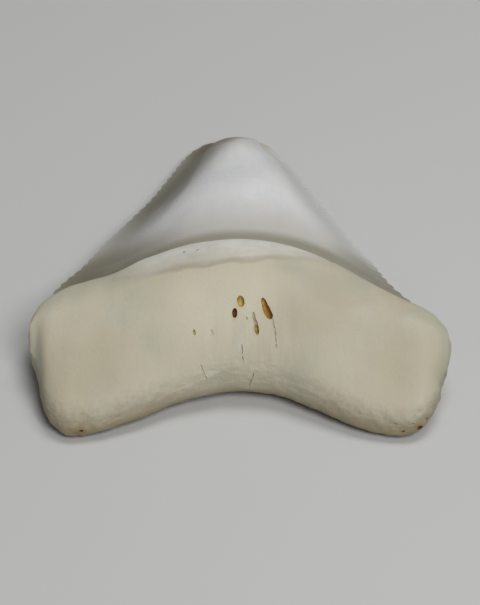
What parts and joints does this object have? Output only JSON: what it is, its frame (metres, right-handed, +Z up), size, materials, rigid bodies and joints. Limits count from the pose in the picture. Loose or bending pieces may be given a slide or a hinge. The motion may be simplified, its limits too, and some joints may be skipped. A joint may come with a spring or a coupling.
{
  "type": "great white shark tooth",
  "caption": "Broad triangular shark tooth with a thick two-lobed root, a raised neck band, a domed inner face and fine serrated cutting edges, lying flat.",
  "frame": {"origin": "on the resting plane, under the middle of the tooth's outline", "axes": "+X along the root, +Y from the root's lobes to the tip, +Z up out of the inner face"},
  "size_m": [0.0446, 0.0524, 0.0111],
  "materials": {
    "tooth": "glossy white enamel on the crown, matt ivory root"
  },
  "bodies": {
    "root": {"tooth": "tooth"}
  },
  "joints": []
}
